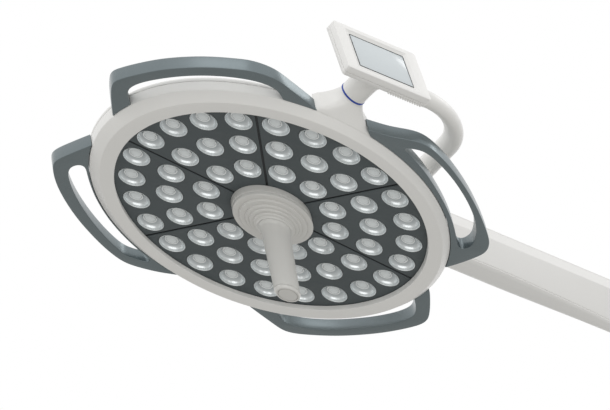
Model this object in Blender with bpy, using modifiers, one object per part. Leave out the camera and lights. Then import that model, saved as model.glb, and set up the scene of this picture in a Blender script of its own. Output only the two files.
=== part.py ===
"""Ceiling-mounted surgical light: a round LED head with four grab handles and a
removable sterile handle, carried by a side yoke with a control panel, a level
front knuckle and a balanced parallel-link arm that swivels on a mount flange.

Metres, +Z up.  The origin is the centre of the mount flange's upper face.
The head is modelled round its own centre, on the plane of the lens rims.
"""

import math

import bmesh
import bpy
from mathutils import Matrix, Vector

# ---------------------------------------------------------------- dimensions
HEAD_R = 0.312            # outer radius of the lamp head
LIP_R = 0.2715            # inner radius of the white front lip
LENS_HOLE_R = 0.0234
LENS_RINGS = ((0.240, 24, 7.5), (0.177, 18, 0.0), (0.1133, 12, 15.0))
SEAM_ANGLE = 30.0         # first seam between two face panels, degrees
HUB_R = 0.070
HANDLE_Z0, HANDLE_Z1 = 0.003, 0.028
GRIP_R0, GRIP_R1 = 0.0247, 0.0225
GRIP_TIP = -0.1817
AXIS_ANGLE = -60.0        # plan direction of the rim joint
AXIS_Z = 0.048            # height of the rim joint's axis
YOKE_ROLL = 7.5           # how far the yoke stands rolled about that axis
TUBE_R = 0.0165
YOKE_C = 0.2015           # offset of the yoke's long leg from the rim axis
SPINDLE_RHO = -0.16       # front spindle, along the rim axis direction
ARM_ANGLE = 23.52
PIVOT_Z = 0.255           # height of the arm's pivots over the lens plane
ARM_TOP = 0.295
FRONT_PIVOT_S, REAR_PIVOT_S, REAR_AXIS_S = 0.070, 0.970, 1.045
TIE_DROP = 0.0145         # tie rod pivots below the main pivots
FLANGE_Z = 0.385
GAP = 0.0003              # running and joint gap between touching pieces

a60 = math.radians(AXIS_ANGLE)
RAD = Vector((math.cos(a60), math.sin(a60), 0.0))
TAN = Vector((-math.sin(a60), math.cos(a60), 0.0))
C_PLAN = YOKE_C * math.cos(math.radians(YOKE_ROLL))
TUBE_Z = AXIS_Z + YOKE_C * math.sin(math.radians(YOKE_ROLL))
P1 = RAD * SPINDLE_RHO + TAN * C_PLAN
aa = math.radians(ARM_ANGLE)
ARM = Vector((math.cos(aa), math.sin(aa), 0.0))
MOUNT = P1 + ARM * REAR_AXIS_S + Vector((0, 0, FLANGE_Z))

# ---------------------------------------------------------------- scene setup
for ob in list(bpy.data.objects):
    bpy.data.objects.remove(ob, do_unlink=True)
parts = bpy.data.collections.new("surgical_light")
cutters = bpy.data.collections.new("cutters")
bpy.context.scene.collection.children.link(parts)
bpy.context.scene.collection.children.link(cutters)


def empty(name, parent, matrix):
    e = bpy.data.objects.new(name, None)
    parts.objects.link(e)
    e.parent = parent
    e.matrix_local = matrix
    return e


def frame(x, y, z, origin):
    m = Matrix((x, y, z)).transposed().to_4x4()
    m.translation = origin
    return m


root = empty("light_frame", None, Matrix.Translation(-MOUNT))
E_HEAD = empty("head_frame", root, Matrix.Identity(4))
yr = math.radians(YOKE_ROLL)
W = TAN * math.cos(yr) + Vector((0, 0, math.sin(yr)))
UP2 = RAD.cross(W)
E_RIM = empty("rim_axis", root, frame(RAD, W, UP2, Vector((0, 0, AXIS_Z))))
E_FRONT = empty("front_axis", root,
                frame(ARM, Vector((0, 0, 1)).cross(ARM), Vector((0, 0, 1)), P1))
E_REAR = empty("rear_axis", root,
               frame(ARM, Vector((0, 0, 1)).cross(ARM), Vector((0, 0, 1)),
                     P1 + ARM * REAR_AXIS_S))

MATS = {}
for key, rgb, rough, metal in (
        ("white_paint", (0.78, 0.78, 0.765), 0.35, 0.0),
        ("panel_grey", (0.07, 0.085, 0.092), 0.5, 0.0),
        ("lens_silver", (0.80, 0.82, 0.82), 0.15, 0.9),
        ("handle_grey", (0.24, 0.29, 0.31), 0.35, 0.6),
        ("blue_ring", (0.02, 0.07, 0.35), 0.4, 0.0),
        ("screen_glass", (0.62, 0.66, 0.67), 0.08, 0.0),
        ("steel", (0.55, 0.56, 0.57), 0.3, 1.0),
        ("bronze", (0.50, 0.33, 0.14), 0.4, 1.0),
        ("board_green", (0.03, 0.16, 0.07), 0.5, 0.0),
        ("alloy", (0.62, 0.63, 0.64), 0.4, 0.9)):
    m = bpy.data.materials.new(key)
    m.use_nodes = True
    b = m.node_tree.nodes["Principled BSDF"]
    b.inputs["Base Color"].default_value = (*rgb, 1.0)
    b.inputs["Roughness"].default_value = rough
    b.inputs["Metallic"].default_value = metal
    m.diffuse_color = (*rgb, 1.0)
    MATS[key] = m


# ---------------------------------------------------------------- tools
def add(name, data, mat, parent, loc=(0, 0, 0), rot=None, cutter=False):
    ob = bpy.data.objects.new(name, data)
    (cutters if cutter else parts).objects.link(ob)
    ob.parent = parent
    m = (rot or Matrix.Identity(3)).to_4x4()
    m.translation = Vector(loc)
    ob.matrix_local = m
    if cutter:
        ob.hide_render = True
        ob.display_type = "WIRE"
    else:
        data.materials.append(MATS[mat])
    return ob


ROT_X = Matrix(((0, 0, 1), (0, 1, 0), (-1, 0, 0)))     # local Z along +X
ROT_Y = Matrix(((1, 0, 0), (0, 0, 1), (0, -1, 0)))     # local Z along +Y


def turned(name, profile, mat, parent, steps=32, loc=(0, 0, 0), rot=None,
           closed=False, cutter=False):
    """Profile of (radius, height), outer side from top to bottom."""
    me = bpy.data.meshes.new(name)
    bm = bmesh.new()
    vs = [bm.verts.new((r, 0.0, z)) for r, z in profile]
    for i in range(len(vs) - 1):
        bm.edges.new((vs[i], vs[i + 1]))
    if closed:
        bm.edges.new((vs[-1], vs[0]))
    bm.to_mesh(me)
    bm.free()
    ob = add(name, me, mat, parent, loc, rot, cutter)
    s = ob.modifiers.new("turn", "SCREW")
    s.axis = "Z"
    s.angle = math.tau
    s.steps = s.render_steps = steps
    s.use_merge_vertices = True
    s.merge_threshold = 0.00001
    s.use_smooth_shade = False
    return ob


def ring(name, r_out, r_in, z0, z1, mat, parent, steps=24, loc=(0, 0, 0), rot=None):
    return turned(name, ((r_out, z1), (r_out, z0), (r_in, z0), (r_in, z1)), mat,
                  parent, steps, loc, rot, closed=True)


def flat(name, outlines, z0, z1, mat, parent, loc=(0, 0, 0), rot=None):
    """A flat outline, with any holes, extruded from z0 to z1."""
    cu = bpy.data.curves.new(name, "CURVE")
    cu.dimensions = "2D"
    cu.fill_mode = "BOTH"
    cu.extrude = (z1 - z0) / 2
    for pts in outlines:
        sp = cu.splines.new("POLY")
        sp.points.add(len(pts) - 1)
        for p, (x, y) in zip(sp.points, pts):
            p.co = (x, y, 0.0, 1.0)
        sp.use_cyclic_u = True
    rot = rot or Matrix.Identity(3)
    loc = Vector(loc) + rot @ Vector((0, 0, (z0 + z1) / 2))
    return add(name, cu, mat, parent, loc, rot)


def to_mesh(ob):
    """Makes a curve piece a mesh with its caps welded, so that it can be cut."""
    bpy.context.view_layer.update()
    dg = bpy.context.evaluated_depsgraph_get()
    me = bpy.data.meshes.new_from_object(ob.evaluated_get(dg))
    bm = bmesh.new()
    bm.from_mesh(me)
    bmesh.ops.remove_doubles(bm, verts=bm.verts, dist=0.00002)
    bm.to_mesh(me)
    bm.free()
    name, parent, local = ob.name, ob.parent, ob.matrix_local.copy()
    bpy.data.objects.remove(ob, do_unlink=True)
    new = bpy.data.objects.new(name, me)
    parts.objects.link(new)
    new.parent = parent
    new.matrix_local = local
    return new


def box(name, lo, hi, mat, parent, cutter=False, rot=None):
    me = bpy.data.meshes.new(name)
    bm = bmesh.new()
    bmesh.ops.create_cube(bm, size=1.0)
    for v in bm.verts:
        v.co = Vector((v.co.x * (hi[0] - lo[0]), v.co.y * (hi[1] - lo[1]),
                       v.co.z * (hi[2] - lo[2])))
    bm.to_mesh(me)
    bm.free()
    centre = [(a + b) / 2 for a, b in zip(lo, hi)]
    return add(name, me, mat, parent, centre, rot, cutter)


def rod(name, r, z0, z1, mat, parent, loc=(0, 0, 0), rot=None, seg=16, cutter=False,
        r2=None):
    me = bpy.data.meshes.new(name)
    bm = bmesh.new()
    bmesh.ops.create_cone(bm, cap_ends=True, segments=seg, radius1=r,
                          radius2=r if r2 is None else r2, depth=z1 - z0,
                          matrix=Matrix.Translation((0, 0, (z0 + z1) / 2)))
    bm.to_mesh(me)
    bm.free()
    return add(name, me, mat, parent, loc, rot, cutter)


def boolean(ob, other, op="DIFFERENCE"):
    m = ob.modifiers.new(op.lower(), "BOOLEAN")
    m.operation = op
    m.object = other
    m.solver = "EXACT"
    return ob


def bevel(ob, width, segments=1, angle=40):
    m = ob.modifiers.new("edges", "BEVEL")
    m.width = width
    m.segments = segments
    m.limit_method = "ANGLE"
    m.angle_limit = math.radians(angle)
    return ob


def loft(name, sections, mat, parent, curved_cap=False):
    """Skin between rings of equal count, with the two end rings capped.  A curved
    first cap is laid in strips across the ring, so that it follows its bend."""
    me = bpy.data.meshes.new(name)
    bm = bmesh.new()
    rows = [[bm.verts.new(p) for p in s] for s in sections]
    n = len(rows[0])
    for r0, r1 in zip(rows, rows[1:]):
        for i in range(n):
            j = (i + 1) % n
            bm.faces.new((r0[i], r0[j], r1[j], r1[i]))
    if curved_cap:
        for j in range(n // 2):
            strip = []
            for i in (j, j + 1, n - j - 1, (n - j) % n):
                if rows[0][i] not in strip:
                    strip.append(rows[0][i])
            bm.faces.new(strip[::-1])
    else:
        bm.faces.new(rows[0][::-1])
    bm.faces.new(rows[-1])
    bmesh.ops.recalc_face_normals(bm, faces=bm.faces)
    bm.to_mesh(me)
    bm.free()
    return add(name, me, mat, parent)


def polar(r, deg):
    return (r * math.cos(math.radians(deg)), r * math.sin(math.radians(deg)))


def circle(cx, cy, r, n, start=0.0):
    return [(cx + r * math.cos(start + math.tau * i / n),
             cy + r * math.sin(start + math.tau * i / n)) for i in range(n)]


def sector(r0, r1, d0, d1, half_gap, n_out=8, n_in=4):
    """Outline of a ring sector whose straight sides stand half_gap off the seams."""
    def edge(r, d, sign):
        return d + sign * math.degrees(math.asin(half_gap / r))
    pts = []
    o0, o1 = edge(r1, d0, 1), edge(r1, d1, -1)
    pts += [polar(r1, o0 + (o1 - o0) * i / n_out) for i in range(n_out + 1)]
    i0, i1 = edge(r0, d0, 1), edge(r0, d1, -1)
    pts += [polar(r0, i1 + (i0 - i1) * i / n_in) for i in range(n_in + 1)]
    return pts


# ---------------------------------------------------------------- lamp head
turned("head_front_ring", (
    (HEAD_R, 0.0225), (HEAD_R, 0.0030), (0.2960, -0.0110), (LIP_R, -0.0110),
    (LIP_R, -0.0080), (0.2948, -0.0080), (0.3085, 0.0042), (0.3085, 0.0225)),
    "white_paint", E_HEAD, 48, closed=True)

turned("head_back_cover", (
    (0.0, 0.0485), (0.120, 0.0476), (0.220, 0.0455), (0.290, 0.0412),
    (0.306, 0.0350), (HEAD_R, 0.0270), (HEAD_R, 0.0228), (0.3095, 0.0228),
    (0.3095, 0.0262), (0.304, 0.0332), (0.289, 0.0388), (0.220, 0.0430),
    (0.120, 0.0451), (0.0, 0.0460)), "white_paint", E_HEAD, 48)

for k in range(6):
    d0 = SEAM_ANGLE + 60 * k
    d1 = d0 + 60
    lenses = []
    for r, count, first in LENS_RINGS:
        for i in range(count):
            d = first + 360.0 / count * i
            if d0 < d < d1 or d0 < d + 360 < d1:
                lenses.append(polar(r, d))
    outline = sector(0.046, 0.300, d0, d1, 0.0006)
    flat("face_panel_%d" % (k + 1),
         [outline] + [circle(x, y, LENS_HOLE_R, 10) for x, y in lenses],
         0.0, 0.002, "panel_grey", E_HEAD)
    tray = to_mesh(flat("lens_array_%d" % (k + 1),
                        [sector(0.086, 0.2675, d0, d1, 0.003, 6, 3)],
                        0.0125, 0.0145, "lens_silver", E_HEAD))
    cups = bpy.data.meshes.new("cups_%d" % (k + 1))
    bm = bmesh.new()
    for x, y in lenses:
        bmesh.ops.create_cone(bm, cap_ends=True, segments=8, radius1=0.0225,
                              radius2=0.012, depth=0.010,
                              matrix=Matrix.Translation((x, y, 0.0085)))
    bm.to_mesh(cups)
    bm.free()
    boolean(tray, add("cups_%d" % (k + 1), cups, None, E_HEAD, cutter=True), "UNION")
    flat("led_board_%d" % (k + 1), [sector(0.088, 0.265, d0, d1, 0.004, 5, 3)],
         0.0148, 0.0162, "board_green", E_HEAD)

ring("heat_sink_plate", 0.285, 0.050, 0.0166, 0.0206, "alloy", E_HEAD, 40)
box("driver_board", (-0.13, 0.02, 0.0216), (0.01, 0.11, 0.0316), "board_green", E_HEAD)

# the stepped hub in the middle, with the focus spindle running inside it
turned("hub_flange", (
    (HUB_R, -GAP), (HUB_R, -0.0215), (0.0660, -0.0260), (0.0595, -0.0262),
    (0.0575, -0.0310), (0.0500, -0.0312), (0.0480, -0.0360), (0.0400, -0.0362),
    (0.0380, -0.0410), (0.0294, -0.0412), (0.0130, -0.0412), (0.0130, -GAP)),
    "white_paint", E_HEAD, 32, closed=True)
turned("focus_spindle", (
    (0.0, 0.0125), (0.0220, 0.0125), (0.0220, 0.0080), (0.0125, 0.0080),
    (0.0125, -0.0860), (0.0, -0.0860)), "steel", E_HEAD, 16)
turned("sterile_handle", (
    (0.0131, -0.0416), (0.0270, -0.0416), (0.0255, -0.0500), (GRIP_R0, -0.0560),
    (GRIP_R1, -0.1742), (0.0, -0.1742), (0.0, -0.0880), (0.0131, -0.0880)),
    "white_paint", E_HEAD, 24, closed=True)
turned("handle_end_cap", (
    (0.0, -0.1745), (GRIP_R1, -0.1745), (0.0222, -0.1778), (0.0185, GRIP_TIP),
    (0.0, GRIP_TIP)), "white_paint", E_HEAD, 24)


# ---------------------------------------------------------------- grab handles
# Corners (radius, angle), with the angle counted from a base direction and
# mirrored by sign. The right and left handles are closed loops with an opening;
# the top and bottom ones are arches on the head's side wall.
WALL = HEAD_R + 0.0014
HANDLES = (
    ("grab_handle_right", 1, -60, True,
     ((WALL, 10.4), (0.3235, 8.8), (0.3345, 7.2), (0.3442, 11.6), (0.3660, 15.6), (0.3756, 17.6),
      (0.3805, 20.2), (0.3810, 23.8), (0.3797, 29.5), (0.3772, 38.7), (0.3772, 47.2), (0.3797, 54.2),
      (0.3818, 58.6), (0.3795, 61.8), (0.3730, 64.4), (0.3466, 69.7), (0.3187, 75.6), (WALL, 76.8)),
     ((0.3375, 16.8), (0.3520, 18.6), (0.3611, 20.1), (0.3655, 22.6), (0.3666, 26.4), (0.3663, 32.9),
      (0.3654, 40.1), (0.3648, 46.5), (0.3636, 51.4), (0.3600, 56.4), (0.3524, 61.1), (0.3408, 64.0),
      (0.3311, 64.9), (0.3260, 63.4), (0.3244, 60.5), (0.3228, 52.2), (0.3222, 43.9), (0.3241, 35.8),
      (0.3290, 27.8), (0.3336, 20.8))),
    ("grab_handle_top", -1, -60, False,
     ((WALL, 10.2), (0.3230, 13.2), (0.3404, 17.9), (0.3616, 22.9), (0.3705, 28.3), (0.3697, 33.0),
      (0.3680, 41.5), (0.3665, 50.0), (0.3660, 56.2), (0.3670, 66.4), (0.3660, 69.9), (0.3498, 73.9),
      (WALL, 82.4)),
     ((WALL, 72.8), (0.3300, 70.4), (0.3410, 68.2), (0.3462, 63.7), (0.3462, 53.1), (0.3468, 42.6),
      (0.3467, 33.0), (0.3433, 26.4), (0.3334, 22.7), (WALL, 20.6))),
    ("grab_handle_left", 1, 120, True,
     ((WALL, 8.2), (0.3366, 13.0), (0.3585, 17.9), (0.3683, 20.6), (0.3719, 23.2), (0.3735, 27.7),
      (0.3737, 33.9), (0.3748, 40.7), (0.3762, 48.1), (0.3780, 55.3), (0.3773, 61.1), (0.3742, 64.6),
      (0.3640, 67.1), (0.3382, 72.3), (WALL, 78.6)),
     ((0.3237, 17.2), (0.3382, 19.9), (0.3485, 22.3), (0.3518, 24.6), (0.3520, 28.7), (0.3512, 34.8),
      (0.3508, 42.0), (0.3514, 49.8), (0.3521, 56.8), (0.3508, 61.1), (0.3460, 63.8), (0.3379, 65.5),
      (0.3244, 66.8), (0.3195, 66.0), (0.3178, 63.3), (0.3165, 58.1), (0.3160, 50.4), (0.3160, 40.7),
      (0.3163, 31.8), (0.3170, 23.9), (0.3185, 18.5))),
    ("grab_handle_bottom", -1, 120, False,
     ((WALL, 16.4), (0.3442, 23.3), (0.3690, 28.0), (0.3725, 30.6), (0.3715, 35.0), (0.3685, 44.5),
      (0.3675, 57.2), (0.3700, 67.3), (0.3708, 72.0), (0.3650, 75.4), (0.3188, 87.1), (WALL, 88.4)),
     ((WALL, 79.5), (0.3307, 76.3), (0.3440, 73.0), (0.3486, 68.4), (0.3487, 59.0), (0.3497, 45.5),
      (0.3508, 36.1), (0.3480, 31.0), (0.3400, 28.4), (0.3269, 27.2), (WALL, 26.6))))
for name, sign, base, closed_loop, outer, inner in HANDLES:
    first, last = outer[0][1], outer[-1][1]
    outer = [polar(r, base + sign * a) for r, a in outer]
    inner = [polar(r, base + sign * a) for r, a in inner]
    if closed_loop:
        # the foot of the loop follows the head's wall
        foot = [polar(WALL, base + sign * (last + (first - last) * i / 9)) for i in range(1, 9)]
        outlines = [outer + foot, inner]
    else:
        outlines = [outer + inner]
    flat(name, outlines, HANDLE_Z0, HANDLE_Z1, "handle_grey", E_HEAD)

# ---------------------------------------------------------------- rim joint
# the boss flares out of the head's side wall into the round journal
sections = []
N = 24
for i, (rho, hw, zc, hz, power) in enumerate((
        (None, 0.0530, 0.0228, 0.0188, 7.0), (0.3200, 0.0420, 0.0268, 0.0188, 5.0),
        (0.3285, 0.0342, 0.0332, 0.0192, 3.6), (0.3370, 0.0262, 0.0412, 0.0197, 2.5),
        (0.3420, 0.0200, AXIS_Z, 0.0200, 2.0), (0.3472, 0.0200, AXIS_Z, 0.0200, 2.0))):
    pts = []
    for j in range(N):
        t = math.tau * j / N
        c, s = math.cos(t), math.sin(t)
        y = hw * math.copysign(abs(c) ** (2 / power), c)
        z = zc + hz * math.copysign(abs(s) ** (2 / power), s)
        r = rho
        if rho is None:
            r = math.sqrt((HEAD_R + 0.0006) ** 2 - y * y)
        pts.append(RAD * r + TAN * y + Vector((0, 0, z)))
    sections.append(pts)
boss = loft("yoke_boss", sections, "white_paint", E_HEAD, curved_cap=True)
boolean(boss, rod("axle_bore", 0.0106, 0.3330, 0.3600, None, E_RIM, rot=ROT_X,
                  seg=16, cutter=True))

ring("rim_blue_ring", 0.0204, 0.0106, 0.3475, 0.3505, "blue_ring", E_RIM, 24, rot=ROT_X)
rod("rim_axle", 0.0100, 0.3340, 0.3930, "steel", E_RIM, rot=ROT_X, seg=16)
turned("rim_joint_sleeve", (
    (0.0106, 0.3955), (0.0200, 0.3955), (0.0200, 0.3508), (0.0106, 0.3508)),
    "white_paint", E_RIM, 24, rot=ROT_X, closed=True)
bevel(box("yoke_block", (0.3958, -0.024, -0.024), (0.4295, 0.024, 0.024),
          "white_paint", E_RIM), 0.004)

# one bent tube from the block, round the head's edge and back over the head
path = [(0.4127, 0.0243), (0.4127, 0.103)]
for i in range(1, 7):
    t = math.radians(15 * i)
    path.append((0.3142 + 0.0985 * math.cos(t), 0.103 + 0.0985 * math.sin(t)))
pts3 = [RAD * r + W * c + Vector((0, 0, AXIS_Z)) for r, c in path]
bend = 0.065
base = TAN * C_PLAN
pts3.append(base + RAD * 0.08 + Vector((0, 0, TUBE_Z)))
for i in range(0, 7):
    t = math.radians(15 * i)
    pts3.append(base + RAD * (SPINDLE_RHO + bend - bend * math.sin(t))
                + Vector((0, 0, TUBE_Z + bend - bend * math.cos(t))))
pts3.append(P1 + Vector((0, 0, 0.1750)))
cu = bpy.data.curves.new("yoke_tube", "CURVE")
cu.dimensions = "3D"
cu.bevel_depth = TUBE_R
cu.bevel_resolution = 3
cu.use_fill_caps = True
sp = cu.splines.new("POLY")
sp.points.add(len(pts3) - 1)
for p, v in zip(sp.points, pts3):
    p.co = (v.x, v.y, v.z, 1.0)
add("yoke_tube", cu, "white_paint", root)

# ---------------------------------------------------------------- control panel
PW0, PW1, PU0, PU1 = -0.075, 0.081, -0.041, 0.053
back = bevel(box("panel_back_cover", (0.4298, PW0, PU0), (0.4520, PW1, PU1),
                 "white_paint", E_RIM), 0.006)
boolean(back, box("panel_pocket", (0.4330, PW0 + 0.008, PU0 + 0.008),
                  (0.4700, PW1 - 0.008, PU1 - 0.008), None, E_RIM, cutter=True))
bez = box("panel_bezel", (0.4523, PW0, PU0), (0.4580, PW1, PU1), "white_paint", E_RIM)
boolean(bez, box("panel_window", (0.4400, -0.048, -0.0255), (0.4700, 0.054, 0.0375),
                 None, E_RIM, cutter=True))
box("panel_glass", (0.4540, -0.0477, -0.0252), (0.4570, 0.0537, 0.0372),
    "screen_glass", E_RIM)
box("panel_circuit_board", (0.4440, -0.060, -0.030), (0.4458, 0.064, 0.041),
    "board_green", E_RIM)

# ---------------------------------------------------------------- front knuckle
turned("front_spindle", (
    (0.0, 0.2290), (0.0120, 0.2290), (0.0120, 0.1880), (0.0230, 0.1880),
    (0.0230, 0.1753), (0.0, 0.1753)), "steel", E_FRONT, 20)
housing = turned("front_knuckle_housing", (
    (0.0, 0.2900), (0.0290, 0.2900), (0.0330, 0.2850), (0.0330, 0.1885),
    (0.0188, 0.1885), (0.0188, 0.2320), (0.0, 0.2320)), "white_paint", E_FRONT, 32)
boolean(housing, box("front_tongue", (0.026, -0.0165, PIVOT_Z - 0.0185),
                     (0.083, 0.005, PIVOT_Z + 0.012), None, E_FRONT, cutter=True),
        "UNION")
boolean(housing, rod("front_pin_bore", 0.0063, -0.03, 0.03, None, E_FRONT,
                     loc=(FRONT_PIVOT_S, 0, PIVOT_Z), rot=ROT_Y, seg=16, cutter=True))
ring("front_spindle_bush", 0.0184, 0.0125, 0.1895, 0.2215, "bronze", E_FRONT, 20)
rod("front_pivot_pin", 0.0060, -0.0235, 0.0235, "steel", E_FRONT,
    loc=(FRONT_PIVOT_S, 0, PIVOT_Z), rot=ROT_Y, seg=16)
rod("front_tie_pin", 0.0022, 0.0053, 0.0138, "steel", E_FRONT,
    loc=(FRONT_PIVOT_S, 0, PIVOT_Z - TIE_DROP), rot=ROT_Y, seg=10)

# ---------------------------------------------------------------- spring arm
beam = box("arm_beam", (0.054, -0.0200, PIVOT_Z - 0.022),
           (0.986, 0.0200, PIVOT_Z + 0.022), "alloy", E_FRONT)
boolean(beam, box("beam_bore", (0.0, -0.0170, PIVOT_Z - 0.019),
                  (1.1, 0.0170, PIVOT_Z + 0.019), None, E_FRONT, cutter=True))
boolean(beam, box("beam_fork_front", (0.0, -0.0171, PIVOT_Z - 0.04),
                  (0.105, 0.0171, PIVOT_Z + 0.04), None, E_FRONT, cutter=True))
boolean(beam, box("beam_fork_rear", (0.935, -0.0171, PIVOT_Z - 0.04),
                  (1.1, 0.0171, PIVOT_Z + 0.04), None, E_FRONT, cutter=True))
for tag, s in (("front", FRONT_PIVOT_S), ("rear", REAR_PIVOT_S)):
    boolean(beam, rod("beam_hole_" + tag, 0.0063, -0.05, 0.05, None, E_FRONT,
                      loc=(s, 0, PIVOT_Z), rot=ROT_Y, seg=16, cutter=True))

ARM_S0, ARM_S1 = 0.115, 0.925
STATIONS = ((0.115, 0.0780, 0.0270), (0.270, 0.0788, 0.0270), (0.380, 0.0788, 0.0268),
            (0.460, 0.0798, 0.0235), (0.550, 0.0815, 0.0190), (0.640, 0.0850, 0.0150),
            (0.770, 0.0890, 0.0140), (0.925, 0.0890, 0.0160))


def arm_section(s, depth, b, wall=0.0):
    h, side = 0.0520 - wall, 0.0250 + wall * 0.3
    zt, zb = ARM_TOP, ARM_TOP - depth + wall
    b = b - wall * 0.35
    return [(s, -h, zt), (s, -h, zt - side), (s, -b, zb), (s, b, zb),
            (s, h, zt - side), (s, h, zt)]


rows = []
for s, depth, b in STATIONS:
    outer = arm_section(s, depth, b)
    inner = arm_section(s, depth, b, 0.0022)
    lip = Vector((0, 0, -0.0033))
    outer = [Vector(p) for p in outer]
    inner = [Vector(p) for p in inner]
    for ring_pts in (outer, inner):
        ring_pts[0] += lip
        ring_pts[-1] += lip
    rows.append(outer + inner[::-1])
loft("arm_lower_cover", rows, "white_paint", E_FRONT)
bevel(box("arm_top_cover", (ARM_S0, -0.0520, ARM_TOP - 0.0030),
          (ARM_S1, 0.0520, ARM_TOP), "white_paint", E_FRONT), 0.0014)

for tag, s0, st in (("front", ARM_S0 - 0.0028, STATIONS[0]),
                    ("rear", ARM_S1 + 0.0003, STATIONS[-1])):
    sec = [(p[1], p[2]) for p in arm_section(*st)]
    hole = [(-0.0203, PIVOT_Z - 0.0223), (0.0203, PIVOT_Z - 0.0223),
            (0.0203, PIVOT_Z + 0.0223), (-0.0203, PIVOT_Z + 0.0223)]
    flat("arm_end_cap_" + tag, [sec, hole], 0.0, 0.0025, "white_paint", E_FRONT,
         loc=(s0, 0, 0), rot=Matrix(((0, 0, 1), (1, 0, 0), (0, 1, 0))))

rod("spring_cartridge", 0.0085, 0.2000, 0.6200, "steel", E_FRONT,
    loc=(0, -0.0050, PIVOT_Z + 0.0070), rot=ROT_X, seg=12)
rod("spring_rod", 0.0040, 0.6203, 0.8800, "steel", E_FRONT,
    loc=(0, -0.0050, PIVOT_Z + 0.0070), rot=ROT_X, seg=8)

bar = box("tie_rod", (FRONT_PIVOT_S - 0.006, 0.0075, PIVOT_Z - TIE_DROP - 0.0035),
          (REAR_PIVOT_S + 0.006, 0.0125, PIVOT_Z - TIE_DROP + 0.0035), "steel", E_FRONT)
for tag, s in (("front", FRONT_PIVOT_S), ("rear", REAR_PIVOT_S)):
    boolean(bar, rod("tie_hole_" + tag, 0.0028, 0.0, 0.02, None, E_FRONT,
                     loc=(s, 0, PIVOT_Z - TIE_DROP), rot=ROT_Y, seg=10, cutter=True))

# ---------------------------------------------------------------- rear knuckle
housing = turned("rear_knuckle_housing", (
    (0.0190, 0.3250), (0.0360, 0.3250), (0.0400, 0.3200), (0.0400, 0.2050),
    (0.0, 0.2050), (0.0, 0.2500), (0.0190, 0.2500)), "white_paint", E_REAR, 32,
    closed=True)
ps = REAR_PIVOT_S - REAR_AXIS_S
boolean(housing, box("rear_tongue", (ps - 0.013, -0.0165, PIVOT_Z - 0.0185),
                     (-0.024, 0.005, PIVOT_Z + 0.012), None, E_REAR, cutter=True),
        "UNION")
boolean(housing, rod("rear_pin_bore", 0.0063, -0.03, 0.03, None, E_REAR,
                     loc=(ps, 0, PIVOT_Z), rot=ROT_Y, seg=16, cutter=True))
rod("rear_pivot_pin", 0.0060, -0.0235, 0.0235, "steel", E_REAR,
    loc=(ps, 0, PIVOT_Z), rot=ROT_Y, seg=16)
rod("rear_tie_pin", 0.0022, 0.0053, 0.0138, "steel", E_REAR,
    loc=(ps, 0, PIVOT_Z - TIE_DROP), rot=ROT_Y, seg=10)
turned("rear_knuckle_cap", (
    (0.0, 0.2047), (0.0390, 0.2047), (0.0360, 0.1990), (0.0220, 0.1960),
    (0.0, 0.1960)), "white_paint", E_REAR, 32)
ring("rear_bearing", 0.0186, 0.0145, 0.2650, 0.3050, "bronze", E_REAR, 20)

# ---------------------------------------------------------------- mount
turned("mount_spindle", (
    (0.0, 0.3747), (0.0250, 0.3747), (0.0250, 0.3310), (0.0140, 0.3310),
    (0.0140, 0.2530), (0.0, 0.2530)), "steel", E_REAR, 24)
flange = turned("mount_flange", (
    (0.0, FLANGE_Z), (0.0560, FLANGE_Z), (0.0580, FLANGE_Z - 0.002),
    (0.0580, 0.3750), (0.0, 0.3750)), "white_paint", E_REAR, 32)
for i in range(4):
    x, y = polar(0.044, 45 + 90 * i)
    boolean(flange, rod("bolt_hole_%d" % (i + 1), 0.0045, 0.36, 0.40, None, E_REAR,
                        loc=(x, y, 0), seg=12, cutter=True))

bpy.context.view_layer.update()
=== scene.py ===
import math

import bmesh
import bpy
from mathutils import Matrix, Vector


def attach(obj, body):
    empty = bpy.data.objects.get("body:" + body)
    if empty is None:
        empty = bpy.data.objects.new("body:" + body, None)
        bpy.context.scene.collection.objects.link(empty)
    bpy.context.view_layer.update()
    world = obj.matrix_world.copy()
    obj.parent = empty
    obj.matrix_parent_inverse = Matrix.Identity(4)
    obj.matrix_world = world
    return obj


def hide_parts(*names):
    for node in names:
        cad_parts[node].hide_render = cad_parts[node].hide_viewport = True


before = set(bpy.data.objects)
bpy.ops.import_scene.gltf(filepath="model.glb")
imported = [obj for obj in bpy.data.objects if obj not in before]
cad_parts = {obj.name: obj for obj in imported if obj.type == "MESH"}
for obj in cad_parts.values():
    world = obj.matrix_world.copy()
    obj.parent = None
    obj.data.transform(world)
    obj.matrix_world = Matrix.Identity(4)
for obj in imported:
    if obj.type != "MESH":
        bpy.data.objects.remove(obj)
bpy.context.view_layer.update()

# ------------------------------------------------------------------ the design
# Everything is laid out round the head's centre on the lens plane, as in the
# CAD model, and moved so that the origin is the mount flange's upper face.
HEAD_R, LIP_R, HUB_R = 0.312, 0.2715, 0.070
LENS_RINGS = ((0.240, 24, 7.5), (0.177, 18, 0.0), (0.1133, 12, 15.0))
AXIS_Z, YOKE_ROLL, TUBE_R, YOKE_C, SPINDLE_RHO = 0.048, 7.5, 0.0165, 0.2015, -0.16
PIVOT_Z, ARM_TOP, FLANGE_Z = 0.255, 0.295, 0.385
FRONT_S, REAR_S, AXIS_S = 0.070, 0.970, 1.045
a60 = math.radians(-60.0)
RAD = Vector((math.cos(a60), math.sin(a60), 0.0))
TAN = Vector((-math.sin(a60), math.cos(a60), 0.0))
UP = Vector((0, 0, 1))
yr = math.radians(YOKE_ROLL)
C_PLAN = YOKE_C * math.cos(yr)
TUBE_Z = AXIS_Z + YOKE_C * math.sin(yr)
P1 = RAD * SPINDLE_RHO + TAN * C_PLAN
aa = math.radians(23.52)
ARM = Vector((math.cos(aa), math.sin(aa), 0.0))
MOUNT = P1 + ARM * AXIS_S + UP * FLANGE_Z
W = TAN * math.cos(yr) + UP * math.sin(yr)
UP2 = RAD.cross(W)


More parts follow.
